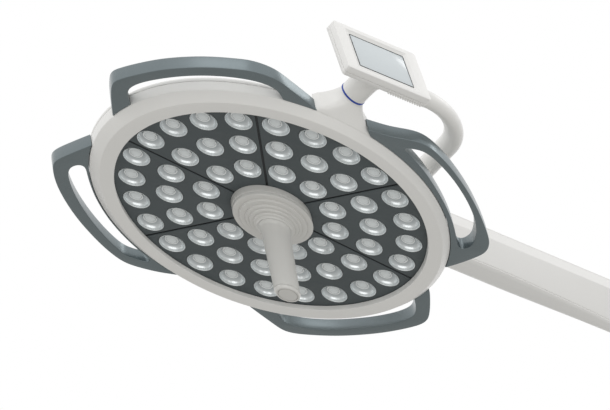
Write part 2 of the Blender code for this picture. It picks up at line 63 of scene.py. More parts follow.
def basis(x, y, z, origin):
    m = Matrix((x, y, z)).transposed().to_4x4()
    m.translation = origin - MOUNT
    return m


HEAD = Matrix.Translation(-MOUNT)
RIM = basis(RAD, W, UP2, UP * AXIS_Z)             # X along the rim axis
RIM_Z = RIM @ Matrix(((0, 0, 1, 0), (0, 1, 0, 0), (-1, 0, 0, 0), (0, 0, 0, 1)))
FRONT = basis(ARM, UP.cross(ARM), UP, P1)
REAR = basis(ARM, UP.cross(ARM), UP, P1 + ARM * AXIS_S)


# ------------------------------------------------------------------ materials
def material(name, color, rough, metal=0.0, rough_var=0.05, bump=0.02, scale=900.0,
             tint=0.03, coat=0.0, spec=0.5, flake=0.0, large=9.0):
    m = bpy.data.materials.new(name)
    m.use_nodes = True
    nt = m.node_tree
    b = nt.nodes["Principled BSDF"]
    b.inputs["Metallic"].default_value = metal
    b.inputs["Specular IOR Level"].default_value = spec
    b.inputs["Coat Weight"].default_value = coat
    b.inputs["Coat Roughness"].default_value = 0.12
    tc = nt.nodes.new("ShaderNodeTexCoord")
    big = nt.nodes.new("ShaderNodeTexNoise")
    big.inputs["Scale"].default_value = large
    big.inputs["Detail"].default_value = 3.0
    fine = nt.nodes.new("ShaderNodeTexNoise")
    fine.inputs["Scale"].default_value = scale
    fine.inputs["Detail"].default_value = 2.0
    nt.links.new(tc.outputs["Object"], big.inputs["Vector"])
    nt.links.new(tc.outputs["Object"], fine.inputs["Vector"])
    ramp = nt.nodes.new("ShaderNodeValToRGB")
    ramp.color_ramp.elements[0].position = 0.3
    ramp.color_ramp.elements[1].position = 0.7
    ramp.color_ramp.elements[0].color = (*[c * (1 - tint) for c in color], 1)
    ramp.color_ramp.elements[1].color = (*[min(1, c * (1 + tint)) for c in color], 1)
    nt.links.new(big.outputs["Fac"], ramp.inputs["Fac"])
    out = ramp.outputs["Color"]
    if flake:
        f = nt.nodes.new("ShaderNodeValToRGB")
        f.color_ramp.elements[0].position = 0.45
        f.color_ramp.elements[1].position = 0.62
        f.color_ramp.elements[0].color = (1 - flake, 1 - flake, 1 - flake, 1)
        f.color_ramp.elements[1].color = (1 + flake, 1 + flake, 1 + flake, 1)
        nt.links.new(fine.outputs["Fac"], f.inputs["Fac"])
        mx = nt.nodes.new("ShaderNodeMix")
        mx.data_type = "RGBA"
        mx.blend_type = "MULTIPLY"
        mx.inputs["Factor"].default_value = 1.0
        nt.links.new(out, mx.inputs[6])
        nt.links.new(f.outputs["Color"], mx.inputs[7])
        out = mx.outputs[2]
    nt.links.new(out, b.inputs["Base Color"])
    mr = nt.nodes.new("ShaderNodeMapRange")
    mr.inputs["To Min"].default_value = max(0.02, rough - rough_var)
    mr.inputs["To Max"].default_value = rough + rough_var
    nt.links.new(big.outputs["Fac"], mr.inputs["Value"])
    nt.links.new(mr.outputs["Result"], b.inputs["Roughness"])
    bp = nt.nodes.new("ShaderNodeBump")
    bp.inputs["Strength"].default_value = bump
    bp.inputs["Distance"].default_value = 0.0005
    nt.links.new(fine.outputs["Fac"], bp.inputs["Height"])
    nt.links.new(bp.outputs["Normal"], b.inputs["Normal"])
    return m


M = {
    "white_paint": material("white_paint", (0.80, 0.795, 0.775), 0.36, bump=0.04, scale=500, tint=0.008, coat=0.15),
    "white_plastic": material("white_plastic", (0.82, 0.815, 0.80), 0.40, bump=0.05, scale=1400, tint=0.006),
    "panel_grey": material("panel_grey", (0.076, 0.091, 0.096), 0.52, bump=0.12, scale=1800, tint=0.05, spec=0.35),
    "lens_silver": material("lens_silver", (0.90, 0.935, 0.945), 0.32, metal=0.72, bump=0.02, scale=700, tint=0.02),
    # the ring round each dome is real, but its white colour is a painted highlight on its edge
    "lens_rim_highlight": material("lens_rim_highlight", (0.90, 0.92, 0.92), 0.22, bump=0.0, scale=500, tint=0.01, coat=0.8),
    "lens_dome": material("lens_dome", (0.76, 0.80, 0.81), 0.16, metal=0.12, bump=0.0, scale=500, tint=0.03, coat=0.6),
    "grip_white": material("grip_white", (0.63, 0.625, 0.60), 0.30, bump=0.05, scale=1400, tint=0.008, coat=0.25),
    "handle_grey": material("handle_grey", (0.178, 0.212, 0.224), 0.29, metal=0.75, bump=0.04, scale=2200, tint=0.03, coat=0.2, flake=0.10),
    "blue_ring": material("blue_ring", (0.012, 0.055, 0.36), 0.35, tint=0.04, bump=0.03),
    "screen_glass": material("screen_glass", (0.60, 0.645, 0.665), 0.16, tint=0.02, bump=0.0, coat=0.5, large=5),
    # near-black: the backing behind the panel seams, and the painted shadow line round the display glass
    "dark_gasket": material("dark_gasket", (0.030, 0.033, 0.035), 0.6, tint=0.05, bump=0.1),
    "steel": material("steel", (0.56, 0.57, 0.58), 0.28, metal=1.0, bump=0.08, scale=1200, tint=0.04),
    "bronze": material("bronze", (0.50, 0.33, 0.14), 0.38, metal=1.0, bump=0.08, scale=900, tint=0.06),
    "alloy": material("alloy", (0.62, 0.63, 0.64), 0.36, metal=0.9, bump=0.08, scale=900, tint=0.04),
    "board_green": material("board_green", (0.030, 0.16, 0.07), 0.45, bump=0.2, scale=400, tint=0.12),
}




def paint_bowl_shade(name, stops):
    """Painted shade: the bowl's colour darkens towards its floor, round the light-emitting chip."""
    nt = M[name].node_tree
    tc = [n for n in nt.nodes if n.bl_idname == "ShaderNodeTexCoord"][0]
    sep = nt.nodes.new("ShaderNodeSeparateXYZ")
    nt.links.new(tc.outputs["Object"], sep.inputs["Vector"])
    rng = nt.nodes.new("ShaderNodeMapRange")
    rng.inputs["From Min"].default_value = -0.0012
    rng.inputs["From Max"].default_value = 0.0112
    nt.links.new(sep.outputs["Z"], rng.inputs["Value"])
    ramp = nt.nodes.new("ShaderNodeValToRGB")
    els = ramp.color_ramp.elements
    els[0].position, els[0].color = stops[0][0], (*stops[0][1], 1)
    els[1].position, els[1].color = stops[-1][0], (*stops[-1][1], 1)
    for pos, col in stops[1:-1]:
        els.new(pos).color = (*col, 1)
    nt.links.new(rng.outputs["Result"], ramp.inputs["Fac"])
    bsdf = nt.nodes["Principled BSDF"]
    mx = nt.nodes.new("ShaderNodeMix")
    mx.data_type = "RGBA"
    mx.blend_type = "MULTIPLY"
    mx.inputs["Factor"].default_value = 1.0
    nt.links.new(bsdf.inputs["Base Color"].links[0].from_socket, mx.inputs[6])
    nt.links.new(ramp.outputs["Color"], mx.inputs[7])
    nt.links.new(mx.outputs[2], bsdf.inputs["Base Color"])


# painted shade in the lens bowls: full colour at the rim, darkened to about 0.55 at the floor
paint_bowl_shade("lens_silver", ((0.0, (1.0, 1.0, 1.0)), (0.45, (1.0, 1.0, 1.0)), (0.74, (0.74, 0.75, 0.76)),
                         (0.95, (0.55, 0.57, 0.58))))


# ------------------------------------------------------------------ mesh tools
def fillet(pts, default=0.0, n=4, closed=False):
    """Rounds the corners of a polyline of (x, y) or (x, y, radius)."""
    out, k = [], len(pts)
    for i, p in enumerate(pts):
        r = p[2] if len(p) > 2 else default
        if r <= 0 or (not closed and i in (0, k - 1)):
            out.append((p[0], p[1]))
            continue
        a = Vector(pts[i - 1][:2]) - Vector(p[:2])
        b = Vector(pts[(i + 1) % k][:2]) - Vector(p[:2])
        la, lb = a.length, b.length
        if la < 1e-9 or lb < 1e-9:
            continue
        a, b = a / la, b / lb
        ang = math.acos(max(-1, min(1, a.dot(b))))
        if ang > math.radians(176):
            out.append((p[0], p[1]))
            continue
        t = min(r / math.tan(ang / 2), la * 0.48, lb * 0.48)
        r = t * math.tan(ang / 2)
        c = Vector(p[:2]) + (a + b).normalized() * (r / math.sin(ang / 2))
        s = Vector(p[:2]) + a * t - c
        e = Vector(p[:2]) + b * t - c
        turn = math.atan2(s.x * e.y - s.y * e.x, s.dot(e))
        for j in range(n + 1):
            q = c + Matrix.Rotation(turn * j / n, 2) @ s
            out.append((q.x, q.y))
    return out


def finish_mesh(name, bm, matrix, mat, sharp=32.0):
    bmesh.ops.recalc_face_normals(bm, faces=bm.faces)
    me = bpy.data.meshes.new(name)
    bm.to_mesh(me)
    bm.free()
    me.shade_smooth()
    me.set_sharp_from_angle(angle=math.radians(sharp))
    ob = bpy.data.objects.new(name, me)
    bpy.context.scene.collection.objects.link(ob)
    ob.matrix_world = matrix
    if isinstance(mat, str):
        mat = [mat]
    for m in mat:
        me.materials.append(M[m])
    return ob


def lathe_into(bm, profile, steps, centre=(0.0, 0.0), mat_index=0):
    """A closed turned body into bm; the profile starts and ends on the axis, or is a loop."""
    onaxis = [abs(r) < 1e-9 for r, z in profile]
    rows = []
    for (r, z), ax in zip(profile, onaxis):
        if ax:
            rows.append([bm.verts.new((centre[0], centre[1], z))])
        else:
            rows.append([bm.verts.new((centre[0] + r * math.cos(math.tau * i / steps),
                                       centre[1] + r * math.sin(math.tau * i / steps), z))
                         for i in range(steps)])
    pairs = list(zip(rows, rows[1:]))
    if not onaxis[0] and not onaxis[-1]:
        pairs.append((rows[-1], rows[0]))
    faces = []
    for a, b in pairs:
        for i in range(steps):
            j = (i + 1) % steps
            if len(a) == 1 and len(b) == 1:
                continue
            if len(a) == 1:
                faces.append(bm.faces.new((a[0], b[j], b[i])))
            elif len(b) == 1:
                faces.append(bm.faces.new((a[i], a[j], b[0])))
            else:
                faces.append(bm.faces.new((a[i], a[j], b[j], b[i])))
    for f in faces:
        f.material_index = mat_index
    return faces


def lathe(name, profile, steps, matrix, mat, sharp=32.0):
    bm = bmesh.new()
    lathe_into(bm, profile, steps)
    return finish_mesh(name, bm, matrix, mat, sharp)


def loft(name, sections, matrix, mat, sharp=32.0, first_strips=False):
    bm = bmesh.new()
    rows = [[bm.verts.new(p) for p in s] for s in sections]
    n = len(rows[0])
    for a, b in zip(rows, rows[1:]):
        for i in range(n):
            j = (i + 1) % n
            bm.faces.new((a[i], a[j], b[j], b[i]))
    if first_strips:
        for j in range(n // 2):
            strip = []
            for i in (j, j + 1, n - j - 1, (n - j) % n):
                if rows[0][i] not in strip:
                    strip.append(rows[0][i])
            bm.faces.new(strip[::-1])
    else:
        bm.faces.new(rows[0][::-1])
    bm.faces.new(rows[-1])
    return finish_mesh(name, bm, matrix, mat, sharp)


def outline_solid(name, outlines, z0, z1, edge, matrix, mat, res=3, sharp=32.0):
    """A flat outline with holes, extruded with rounded edges, as a mesh."""
    cu = bpy.data.curves.new(name, "CURVE")
    cu.dimensions = "2D"
    cu.fill_mode = "BOTH"
    cu.extrude = (z1 - z0) / 2 - edge
    cu.bevel_depth = edge
    cu.bevel_resolution = res
    cu.offset = -edge
    for pts in outlines:
        sp = cu.splines.new("POLY")
        sp.points.add(len(pts) - 1)
        for p, (x, y) in zip(sp.points, pts):
            p.co = (x, y, 0.0, 1.0)
        sp.use_cyclic_u = True
    tmp = bpy.data.objects.new(name + "_curve", cu)
    bpy.context.scene.collection.objects.link(tmp)
    bpy.context.view_layer.update()
    me = bpy.data.meshes.new_from_object(tmp.evaluated_get(bpy.context.evaluated_depsgraph_get()))
    bm = bmesh.new()
    bm.from_mesh(me)
    bpy.data.objects.remove(tmp, do_unlink=True)
    bpy.data.meshes.remove(me)
    bmesh.ops.remove_doubles(bm, verts=bm.verts, dist=0.00001)
    bmesh.ops.translate(bm, verts=bm.verts, vec=(0, 0, (z0 + z1) / 2))
    return finish_mesh(name, bm, matrix, mat, sharp)


def block(name, lo, hi, edge, matrix, mat, segments=3, taper=None):
    """A box with rounded edges."""
    bm = bmesh.new()
    bmesh.ops.create_cube(bm, size=1.0)
    for v in bm.verts:
        v.co = Vector([(a + b) / 2 + c * (b - a) for a, b, c in zip(lo, hi, v.co)])
    if taper:
        taper(bm)
    bmesh.ops.bevel(bm, geom=list(bm.edges), offset=edge, segments=segments, profile=0.5,
                    affect="EDGES", clamp_overlap=True)
    return finish_mesh(name, bm, matrix, mat)


def rod(name, r, z0, z1, edge, matrix, mat, steps=48):
    p = fillet([(0, z1), (r, z1, edge), (r, z0, edge), (0, z0)], n=3)
    return lathe(name, p, steps, matrix, mat)


def polar(r, deg):
    return (r * math.cos(math.radians(deg)), r * math.sin(math.radians(deg)))


def circle(cx, cy, r, n):
    return [(cx + r * math.cos(math.tau * i / n), cy + r * math.sin(math.tau * i / n))
            for i in range(n)]


def place(ob, body, slot, *nodes):
    if nodes:
        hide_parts(*nodes)
    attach(ob, body)
    return ob


# ------------------------------------------------------------------ lamp head
ring_profile = fillet([
    (HEAD_R, 0.0224, 0.0008), (HEAD_R, 0.0032, 0.0026), (0.2968, -0.0110, 0.0022),
    (LIP_R, -0.0110, 0.0014), (LIP_R, -0.0012, 0.0004), (0.2722, -0.0006, 0.0002), (0.2960, -0.0006, 0.001),
    (0.3085, 0.0046, 0.001), (0.3085, 0.0224, 0.0004)], n=5, closed=True)
place(lathe("front_ring", ring_profile, 224, HEAD, "white_paint"), "head", "white_paint",
      "head_front_ring")

back_profile = fillet([
    (0, 0.0485), (0.058, 0.0483, 0.004), (0.0600, 0.0472, 0.001), (0.0640, 0.0471, 0.001),
    (0.0665, 0.0482, 0.003), (0.150, 0.0472, 0.02), (0.228, 0.0452, 0.02),
    (0.2300, 0.0440, 0.0008), (0.2340, 0.0438, 0.0008), (0.2365, 0.0448, 0.002),
    (0.290, 0.0412, 0.02), (0.3075, 0.0350, 0.012), (HEAD_R, 0.0275, 0.006),
    (HEAD_R, 0.0230, 0.0008), (0.3095, 0.0230, 0.0004), (0.3095, 0.0262, 0.003),
    (0.304, 0.0332, 0.005), (0.289, 0.0385, 0.01), (0.220, 0.0418), (0, 0.0440)], n=5)
place(lathe("back_cover", back_profile, 192, HEAD, "white_paint"), "head", "white_paint",
      "head_back_cover")

LENS = fillet([
    (0, 0.0135), (0.0180, 0.0135, 0.001), (0.02325, 0.0030, 0.001), (0.02325, -0.0008, 0.0002),
    (0.0229, -0.0010, 0.0002), (0.0225, -0.0006, 0.0004), (0.0218, 0.0036, 0.006), (0.0196, 0.0078, 0.006),
    (0.0160, 0.0102, 0.005), (0.0118, 0.0108, 0.0004), (0.0118, 0.0116), (0, 0.0116)], n=4)
LENS_RING = fillet([(0.0102, 0.0100), (0.0102, 0.0078, 0.0008), (0.0119, 0.0072, 0.0009), (0.0124, 0.0100, 0.0004)],
                   n=4, closed=True)
DOME = [(0, 0.0104), (0.0101, 0.0104)] + [
    (0.0101 * math.cos(math.radians(a)), 0.0092 - 0.0040 * math.sin(math.radians(a)))
    for a in (0, 12, 25, 40, 55, 70, 82)] + [(0, 0.0052)]


def sector_outline(r0, r1, d0, d1, gap, n_out=40, n_in=16):
    def edge(r, d, s):
        return d + s * math.degrees(math.asin(gap / r))
    o0, o1 = edge(r1, d0, 1), edge(r1, d1, -1)
    i0, i1 = edge(r0, d0, 1), edge(r0, d1, -1)
    return ([polar(r1, o0 + (o1 - o0) * i / n_out) for i in range(n_out + 1)]
            + [polar(r0, i1 + (i0 - i1) * i / n_in) for i in range(n_in + 1)])


for k in range(6):
    d0 = 30.0 + 60 * k
    d1 = d0 + 60
    spots = []
    for r, count, first in LENS_RINGS:
        for i in range(count):
            d = first + 360.0 / count * i
            if d0 < d < d1 or d0 < d + 360 < d1:
                spots.append(polar(r, d))
    panel = outline_solid(
        "panel_face_%d" % (k + 1),
        [sector_outline(0.046, 0.300, d0, d1, 0.0019)] + [circle(x, y, 0.0234, 56) for x, y in spots],
        0.0, 0.0028, 0.0012, HEAD, "panel_grey", res=2)
    place(panel, "head", "panel_grey", "face_panel_%d" % (k + 1))
    bm = bmesh.new()
    for x, y in spots:
        lathe_into(bm, LENS, 48, (x, y), 0)
        lathe_into(bm, DOME, 40, (x, y), 1)
        # the dome's ring: real geometry, with a painted highlight in its white colour
        lathe_into(bm, LENS_RING, 40, (x, y), 2)
    lenses = finish_mesh("lenses_%d" % (k + 1), bm, HEAD, ["lens_silver", "lens_dome", "lens_rim_highlight"], 50)
    place(lenses, "head", "lens_silver", "lens_array_%d" % (k + 1))

# dark backing ring behind the seams between the panels
bm = bmesh.new()
for k in range(6):
    d = math.radians(30 + 60 * k)
    u = Vector((math.cos(d), math.sin(d), 0))
    v = Vector((-u.y, u.x, 0))
    lo, hi = [], []
    for r, s in ((0.048, -1), (0.298, -1), (0.298, 1), (0.048, 1)):
        p = u * r + v * (0.0044 * s)
        lo.append(bm.verts.new(p + UP * 0.0029))
        hi.append(bm.verts.new(p + UP * 0.0036))
    bm.faces.new(lo[::-1])
    bm.faces.new(hi)
    for i in range(4):
        bm.faces.new((lo[i], lo[(i + 1) % 4], hi[(i + 1) % 4], hi[i]))
place(finish_mesh("seam_strips", bm, HEAD, "dark_gasket"), "head", "panel_grey")

hub_profile = fillet([
    (0.0132, -0.0003), (HUB_R, -0.0003, 0.0004), (HUB_R, -0.0128, 0.0006), (0.0690, -0.0136, 0.0005),
    (0.0690, -0.0142, 0.0005), (HUB_R, -0.0150, 0.0006), (HUB_R, -0.0212, 0.0022),
    (0.0608, -0.0220, 0.0006), (0.0602, -0.0217, 0.0003), (0.0592, -0.0217, 0.0003), (0.0584, -0.0256, 0.0018),
    (0.0508, -0.0264, 0.0005), (0.0503, -0.0261, 0.0003), (0.0494, -0.0261, 0.0003), (0.0486, -0.0296, 0.0018),
    (0.0442, -0.0302, 0.0005), (0.0437, -0.0299, 0.0003), (0.0429, -0.0299, 0.0003), (0.0421, -0.0332, 0.0016),
    (0.0376, -0.0338, 0.0005), (0.0371, -0.0335, 0.0003), (0.0363, -0.0335, 0.0003), (0.0355, -0.0368, 0.0016),
    (0.0320, -0.0376, 0.0020), (0.0300, -0.0411, 0.0005), (0.0132, -0.0411)], n=4, closed=True)
place(lathe("hub", hub_profile, 144, HEAD, "grip_white", 40), "head", "white_plastic", "hub_flange")
place(lathe("grip", fillet([
    (0.0131, -0.0414), (0.0296, -0.0414, 0.0004), (0.0268, -0.0480, 0.010), (0.0256, -0.0620, 0.03),
    (0.0240, -0.1150, 0.05), (0.0227, -0.1700), (0.0226, -0.1742, 0.0003), (0, -0.1742), (0, -0.0880), (0.0131, -0.0880)], n=6),
    96, HEAD, "grip_white", 40), "sterile_handle", "white_plastic", "sterile_handle")
place(lathe("grip_end", fillet([
    (0, -0.1746), (0.02255, -0.1746, 0.0004), (0.0225, -0.1770, 0.0010), (0.0200, -0.1812, 0.0016),
    (0.0174, -0.1814, 0.0004), (0.0170, -0.1794, 0.0003), (0.0162, -0.1794, 0.0003),
    (0.0158, -0.1812, 0.0004), (0, -0.1816)], n=4),
    96, HEAD, "grip_white", 30), "sterile_handle", "white_plastic", "handle_end_cap")
place(lathe("focus_shaft", fillet([
    (0, 0.0122), (0.0218, 0.0122, 0.0005), (0.0218, 0.0082, 0.0005), (0.0124, 0.0082, 0.0005),
    (0.0124, -0.0855, 0.0015), (0, -0.0858)], n=3), 48, HEAD, "steel"), "focus_shaft", "steel",
    "focus_spindle")


# ------------------------------------------------------------------ grab handles
WALL = HEAD_R + 0.0010
HANDLES = (
    ("grab_handle_right", 1, -60, True,
     ((WALL, 10.4), (0.3235, 8.8), (0.3345, 7.2), (0.3442, 11.6), (0.3660, 15.6), (0.3756, 17.6),
      (0.3805, 20.2), (0.3810, 23.8), (0.3797, 29.5), (0.3772, 38.7), (0.3772, 47.2), (0.3797, 54.2),
      (0.3818, 58.6), (0.3795, 61.8), (0.3730, 64.4), (0.3466, 69.7), (0.3187, 75.6), (WALL, 76.8)),
     ((0.3375, 16.8), (0.3520, 18.6), (0.3611, 20.1), (0.3655, 22.6), (0.3666, 26.4), (0.3663, 32.9),
      (0.3654, 40.1), (0.3648, 46.5), (0.3636, 51.4), (0.3600, 56.4), (0.3524, 61.1), (0.3408, 64.0),
      (0.3311, 64.9), (0.3260, 63.4), (0.3244, 60.5), (0.3228, 52.2), (0.3222, 43.9), (0.3241, 35.8),
      (0.3290, 27.8), (0.3336, 20.8))),
    ("grab_handle_top", -1, -60, False,
     ((WALL, 10.2), (0.3230, 13.2), (0.3404, 17.9), (0.3616, 22.9), (0.3705, 28.3), (0.3697, 33.0),
      (0.3680, 41.5), (0.3665, 50.0), (0.3660, 56.2), (0.3670, 66.4), (0.3660, 69.9), (0.3498, 73.9),
      (WALL, 82.4)),
     ((WALL, 72.8), (0.3300, 70.4), (0.3410, 68.2), (0.3462, 63.7), (0.3462, 53.1), (0.3468, 42.6),
      (0.3467, 33.0), (0.3433, 26.4), (0.3334, 22.7), (WALL, 20.6))),
    ("grab_handle_left", 1, 120, True,
     ((WALL, 8.2), (0.3366, 13.0), (0.3585, 17.9), (0.3683, 20.6), (0.3719, 23.2), (0.3735, 27.7),
      (0.3737, 33.9), (0.3748, 40.7), (0.3762, 48.1), (0.3780, 55.3), (0.3773, 61.1), (0.3742, 64.6),
      (0.3640, 67.1), (0.3382, 72.3), (WALL, 78.6)),
     ((0.3237, 17.2), (0.3382, 19.9), (0.3485, 22.3), (0.3518, 24.6), (0.3520, 28.7), (0.3512, 34.8),
      (0.3508, 42.0), (0.3514, 49.8), (0.3521, 56.8), (0.3508, 61.1), (0.3460, 63.8), (0.3379, 65.5),
      (0.3244, 66.8), (0.3195, 66.0), (0.3178, 63.3), (0.3165, 58.1), (0.3160, 50.4), (0.3160, 40.7),
      (0.3163, 31.8), (0.3170, 23.9), (0.3185, 18.5))),
    ("grab_handle_bottom", -1, 120, False,
     ((WALL, 16.4), (0.3442, 23.3), (0.3690, 28.0), (0.3725, 30.6), (0.3715, 35.0), (0.3685, 44.5),
      (0.3675, 57.2), (0.3700, 67.3), (0.3708, 72.0), (0.3650, 75.4), (0.3188, 87.1), (WALL, 88.4)),
     ((WALL, 79.5), (0.3307, 76.3), (0.3440, 73.0), (0.3486, 68.4), (0.3487, 59.0), (0.3497, 45.5),
      (0.3508, 36.1), (0.3480, 31.0), (0.3400, 28.4), (0.3269, 27.2), (WALL, 26.6))))


def smooth_chain(pts, closed, spacing=0.0035):
    """An even, smooth line through (radius, angle) corners."""
    xy = [Vector(p) for p in pts]
    if not closed:
        xy = [xy[0] * 2 - xy[1]] + xy + [xy[-1] * 2 - xy[-2]]
    n = len(xy)
    segs = range(n) if closed else range(1, n - 2)
    dense = []
    for i in segs:
        p0, p1, p2, p3 = xy[(i - 1) % n], xy[i % n], xy[(i + 1) % n], xy[(i + 2) % n]
        d01, d12, d23 = [max((b - a).length, 1e-6) ** 0.5 for a, b in ((p0, p1), (p1, p2), (p2, p3))]
        m1 = (p1 - p0) / d01 - (p2 - p0) / (d01 + d12) + (p2 - p1) / d12
        m2 = (p2 - p1) / d12 - (p3 - p1) / (d12 + d23) + (p3 - p2) / d23
        m1, m2 = m1 * d12, m2 * d12
        k = 10
        for j in range(k):
            t = j / k
            dense.append(p1 * (2 * t ** 3 - 3 * t ** 2 + 1) + m1 * (t ** 3 - 2 * t ** 2 + t)
                         + p2 * (-2 * t ** 3 + 3 * t ** 2) + m2 * (t ** 3 - t ** 2))
    if not closed:
        dense.append(xy[-2])
    # even spacing, then a light averaging that rounds what is left of the corners
    line = dense + ([dense[0]] if closed else [])
    out, left = [line[0]], spacing
    for a, b in zip(line, line[1:]):
        d = (b - a).length
        while d > left > 0:
            a = a + (b - a) * (left / d)
            out.append(a)
            d = (b - a).length
            left = spacing
        left -= d
    if closed and (out[-1] - out[0]).length < spacing * 0.6:
        out.pop()
    if not closed:
        if (out[-1] - line[-1]).length < spacing * 0.6:
            out.pop()
        out.append(line[-1])
    for _ in range(6):
        prev = list(out)
        for i in (range(len(out)) if closed else range(1, len(out) - 1)):
            out[i] = prev[i] * 0.5 + (prev[i - 1] + prev[(i + 1) % len(out)]) * 0.25
    return [(v.x, v.y) for v in out]


for name, sign, base, closed_loop, outer, inner in HANDLES:
    first, last = outer[0][1], outer[-1][1]
    side = name.split("_")[-1]
    if side == "right":
        # its foot is cut to the outline of the rim joint's boss
        outer = ((0.3262, 5.45),) + outer[3:]
        lead = [polar(r, base + a) for r, a in ((WALL, 9.4), (0.3140, 7.5), (0.3190, 6.35), (0.3228, 5.75))]
    else:
        lead = []
    out_xy = lead + smooth_chain([polar(r, base + sign * a) for r, a in outer], False)
    in_xy = smooth_chain([polar(r, base + sign * a) for r, a in inner], closed_loop)
    if closed_loop:
        f0 = 9.4 if side == "right" else first
        foot = [polar(WALL, base + sign * (last + (f0 - last) * i / 30)) for i in range(1, 30)]
        outlines = [out_xy + foot, in_xy]
    else:
        outlines = [out_xy + in_xy]
    place(outline_solid("handle_" + side, outlines, 0.003, 0.028, 0.0015, HEAD, "handle_grey", res=3),
          "head", "handle_grey", name)

# ------------------------------------------------------------------ rim joint
sections = []
N = 96
for i in range(15):
    # from the head's side wall to the journal, straight sided at first
    f = i / 14
    rho = HEAD_R + 0.0004 + 0.0346 * f
    if i == 0:
        rho = None
    elif i == 14:
        rho = 0.3467
    g = min(1.0, (rho or HEAD_R) / 0.0320 - HEAD_R / 0.0320)
    # wider towards the top handle, tight on the side of the right handle
    hw_l = 0.0200 + 0.0390 * (1 - g) ** 1.7
    hw_r = 0.0200 + 0.0260 * (1 - g) ** 2.2
    zc = 0.0222 + (AXIS_Z - 0.0222) * g
    hz = 0.0194 + 0.0006 * g
    power = 2.0 + 8.0 * (1 - g) ** 1.15
    pts = []
    for j in range(N):
        t = math.tau * j / N
        c, s = math.cos(t), math.sin(t)
        y = (hw_r if c > 0 else hw_l) * math.copysign(abs(c) ** (2 / power), c)
        z = zc + hz * math.copysign(abs(s) ** (2 / power), s)
        r = math.sqrt((HEAD_R + 0.0004) ** 2 - y * y) if rho is None else rho
        if rho is not None:
            r = max(r, math.sqrt((HEAD_R + 0.0004 + 0.0006 * i) ** 2 - y * y))
        pts.append(RAD * r + TAN * y + UP * z)
    sections.append(pts)
boss = loft("rim_boss", sections, HEAD, "white_paint", 60, first_strips=True)
place(boss, "head", "white_paint", "yoke_boss")

place(lathe("blue_band", fillet([(0.0106, 0.3510), (0.0206, 0.3510, 0.0006), (0.0206, 0.3471, 0.0006),
                                 (0.0106, 0.3471)], n=3, closed=True), 96, RIM_Z, "blue_ring"),
      "yoke", "blue_ring", "rim_blue_ring")
place(lathe("sleeve", fillet([(0.0106, 0.3990), (0.0212, 0.3990, 0.002), (0.0200, 0.3740, 0.01),
                              (0.0200, 0.3513, 0.0008), (0.0106, 0.3513)], n=4, closed=True),
            96, RIM_Z, "white_paint"), "yoke", "white_paint", "rim_joint_sleeve")


def superloop(rho, w0, w1, u0, u1, power, n=64):
    pts = []
    for j in range(n):
        t = math.tau * j / n
        c, s = math.cos(t), math.sin(t)
        pts.append((rho, (w0 + w1) / 2 + (w1 - w0) / 2 * math.copysign(abs(c) ** (2 / power), c),
                    (u0 + u1) / 2 + (u1 - u0) / 2 * math.copysign(abs(s) ** (2 / power), s)))
    return pts


place(loft("panel_neck", [
    superloop(0.3900, -0.0203, 0.0203, -0.0203, 0.0203, 2.0), superloop(0.3980, -0.0206, 0.0208, -0.0206, 0.0206, 2.1),
    superloop(0.4060, -0.0212, 0.0222, -0.0214, 0.0214, 2.3), superloop(0.4130, -0.0224, 0.0260, -0.0226, 0.0228, 2.7),
    superloop(0.4200, -0.0245, 0.0330, -0.0240, 0.0248, 3.4), superloop(0.4260, -0.0270, 0.0405, -0.0252, 0.0268, 4.2),
    superloop(0.4290, -0.0285, 0.0440, -0.0260, 0.0278, 5.0)],
    RIM, "white_paint", 50), "yoke", "white_paint", "yoke_block")

# the bent tube
path = [Vector((0.4127, 0.0243, 0)), Vector((0.4127, 0.103, 0))]
for i in range(1, 25):
    t = math.radians(90 / 24 * i)
    path.append(Vector((0.3142 + 0.0985 * math.cos(t), 0.103 + 0.0985 * math.sin(t), 0)))
pts3 = [RAD * p.x + W * p.y + UP * AXIS_Z for p in path]
base = TAN * C_PLAN
pts3.append(base + RAD * 0.08 + UP * TUBE_Z)
for i in range(0, 25):
    t = math.radians(90 / 24 * i)
    pts3.append(base + RAD * (SPINDLE_RHO + 0.065 - 0.065 * math.sin(t)) + UP * (TUBE_Z + 0.065 - 0.065 * math.cos(t)))
pts3.append(P1 + UP * 0.1750)
cu = bpy.data.curves.new("tube", "CURVE")
cu.dimensions = "3D"
cu.bevel_depth = TUBE_R
cu.bevel_resolution = 12
cu.use_fill_caps = True
sp = cu.splines.new("POLY")
sp.points.add(len(pts3) - 1)
for p, v in zip(sp.points, pts3):
    p.co = (v.x, v.y, v.z, 1.0)
tmp = bpy.data.objects.new("tube_curve", cu)
bpy.context.scene.collection.objects.link(tmp)
bpy.context.view_layer.update()
me = bpy.data.meshes.new_from_object(tmp.evaluated_get(bpy.context.evaluated_depsgraph_get()))
bm = bmesh.new()
bm.from_mesh(me)
bpy.data.objects.remove(tmp, do_unlink=True)
bmesh.ops.remove_doubles(bm, verts=bm.verts, dist=0.00001)
place(finish_mesh("tube", bm, HEAD, "white_paint", 40), "yoke", "white_paint", "yoke_tube")

# ------------------------------------------------------------------ control panel
PW0, PW1, PU0, PU1 = -0.075, 0.081, -0.041, 0.053


def rect(w0, w1, u0, u1, r, n=5):
    return fillet([(w0, u0, r), (w1, u0, r), (w1, u1, r), (w0, u1, r)], n=n, closed=True)


def rect_loft(name, steps, mat, sharp=32.0):
    """Sections (rho, inset, corner radius) of the panel's outline."""
    rows = []
    for rho, inset, r in steps:
        rows.append([(rho, w, u) for w, u in rect(PW0 + inset, PW1 - inset, PU0 + inset, PU1 - inset, r)])
    return loft(name, rows, RIM, mat, sharp)


